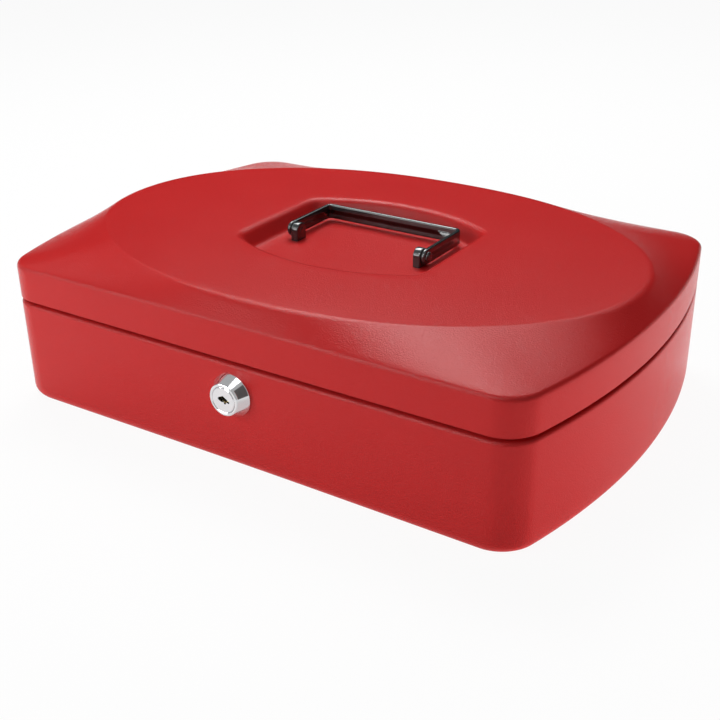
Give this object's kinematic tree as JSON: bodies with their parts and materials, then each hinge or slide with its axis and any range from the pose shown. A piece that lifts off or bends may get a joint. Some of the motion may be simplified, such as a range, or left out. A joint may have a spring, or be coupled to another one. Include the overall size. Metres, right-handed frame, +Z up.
{
  "type": "cash box",
  "caption": "Low steel cash box with bowed ends, a crowned hinged lid with a recessed folding handle, a front cam lock and a lift-out coin tray.",
  "frame": {"origin": "middle of the flat underside, half-way between the front and back walls and between the bowed ends", "axes": "+X along the front to the right, -Y out of the front with the lock, +Z up"},
  "size_m": [0.3, 0.2127, 0.0785],
  "materials": {
    "red_enamel": "fine-textured semi-matt red powder coat",
    "black_nickel": "glossy black nickel with bright edges",
    "bright_chrome": "polished chrome plate",
    "zinc_steel": "bright zinc plate",
    "brass": "stamped brass",
    "black_plastic": "fine-grained black moulded plastic"
  },
  "bodies": {
    "box": {"body_shell": "red_enamel", "body_hinge_leaf_left": "red_enamel", "body_hinge_leaf_right": "red_enamel", "hinge_pin_left": "zinc_steel", "hinge_pin_right": "zinc_steel", "lock_housing": "bright_chrome", "lock_nut": "zinc_steel", "tray_ledge_left": "red_enamel", "tray_ledge_right": "red_enamel"},
    "lid": {"lid_shell": "red_enamel", "lid_hinge_leaf_left": "red_enamel", "lid_hinge_leaf_right": "red_enamel", "handle_lug_left": "black_nickel", "handle_lug_right": "black_nickel", "lug_retainers": "zinc_steel", "pivot_rivet_left": "black_nickel", "pivot_rivet_right": "black_nickel", "striker": "zinc_steel"},
    "handle": {"handle_strip": "black_nickel"},
    "plug": {"lock_plug": "bright_chrome", "lock_wafers": "brass", "wafer_springs": "zinc_steel", "lock_cam": "zinc_steel", "cam_washer": "zinc_steel", "cam_screw": "zinc_steel"},
    "tray": {"coin_tray": "black_plastic"}
  },
  "joints": [
    {"name": "lid_hinge", "type": "hinge", "parent": "box", "child": "lid", "pos_m": [0, 0.1017, 0.0511], "axis": [-1, 0, 0], "range_deg": [0, 105]},
    {"name": "handle_pivot", "type": "hinge", "parent": "lid", "child": "handle", "pos_m": [0, -0.0035, 0.07465], "axis": [1, 0, 0], "range_deg": [0, 165]},
    {"name": "lock_turn", "type": "hinge", "parent": "box", "child": "plug", "pos_m": [0, -0.1025, 0.0363], "axis": [0, 1, 0], "range_deg": [0, 90]},
    {"name": "tray_lift", "type": "slide", "parent": "box", "child": "tray", "axis": [0, 0, 1], "range_m": [0, 0.006]}
  ]
}
